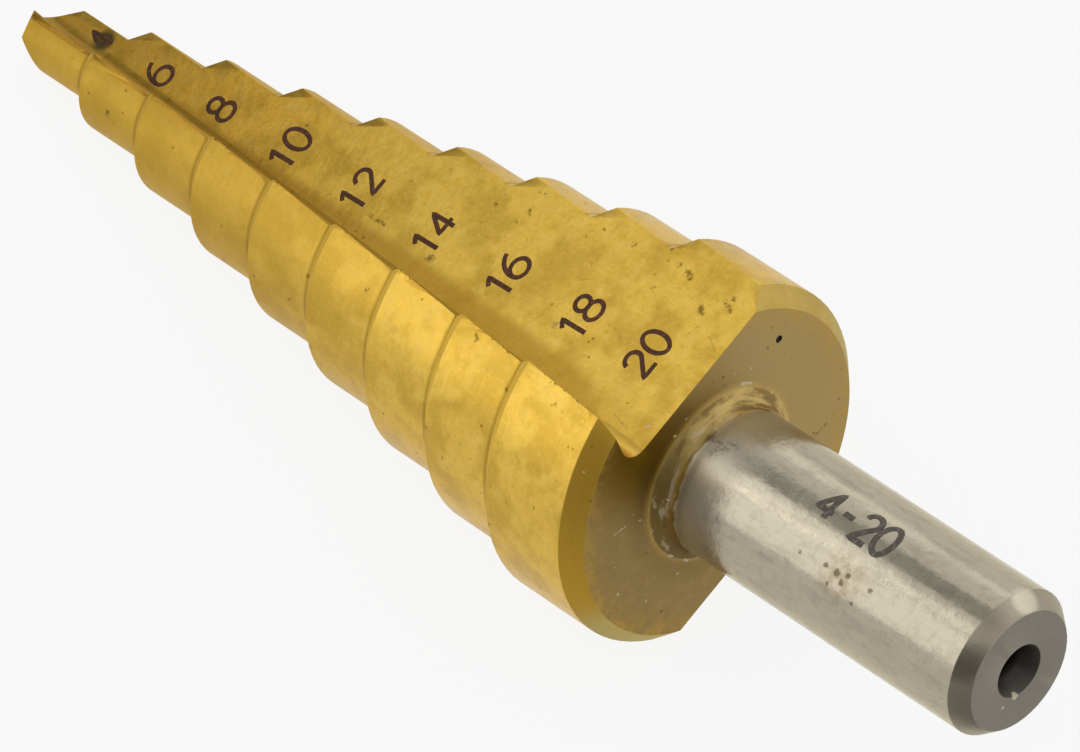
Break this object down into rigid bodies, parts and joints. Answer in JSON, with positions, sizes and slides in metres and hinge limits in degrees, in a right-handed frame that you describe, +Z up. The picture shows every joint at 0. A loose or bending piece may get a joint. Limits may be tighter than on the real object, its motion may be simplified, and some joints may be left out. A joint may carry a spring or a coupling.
{
  "type": "step drill",
  "caption": "Stepped cone drill bit with straight flutes, gold coated body with step diameters marked along the flute and a bare round shank.",
  "frame": {"origin": "centre of the bounding box, on the floor that the drill lies on", "axes": "+Z up from the floor; +X along the drill as it lies, from the point towards the shank; the drill's own axis is over X and rises 7.9 degrees towards the shank"},
  "size_m": [0.0724, 0.02, 0.0174],
  "materials": {
    "tool_steel": "ground high-speed steel; gold titanium nitride coating on the body, bare satin steel on the shank"
  },
  "bodies": {
    "root": {"step_drill": "tool_steel"}
  },
  "joints": []
}
